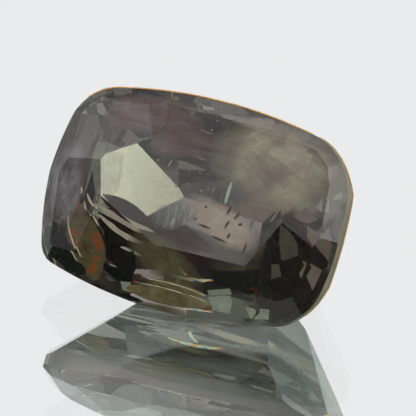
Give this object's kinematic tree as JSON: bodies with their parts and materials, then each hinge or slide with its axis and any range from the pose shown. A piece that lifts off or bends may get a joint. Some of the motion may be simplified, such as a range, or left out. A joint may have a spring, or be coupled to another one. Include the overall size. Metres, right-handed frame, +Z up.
{
  "type": "cushion-cut alexandrite gemstone",
  "caption": "Loose cushion-cut alexandrite with a frosted girdle and natural inclusions, lying on a pavilion facet with its table facing forward and up.",
  "frame": {"origin": "middle of the stone's bounding box on the surface it lies on", "axes": "+X along the stone's length, +Z up, the table faces -Y and up, 48.5 degrees from level"},
  "size_m": [0.0084, 0.0048, 0.0047],
  "materials": {
    "alexandrite_crystal": "polished clear grey-green crystal, included and iron-stained, with a frosted girdle"
  },
  "bodies": {
    "root": {"alexandrite_stone": "alexandrite_crystal"}
  },
  "joints": []
}
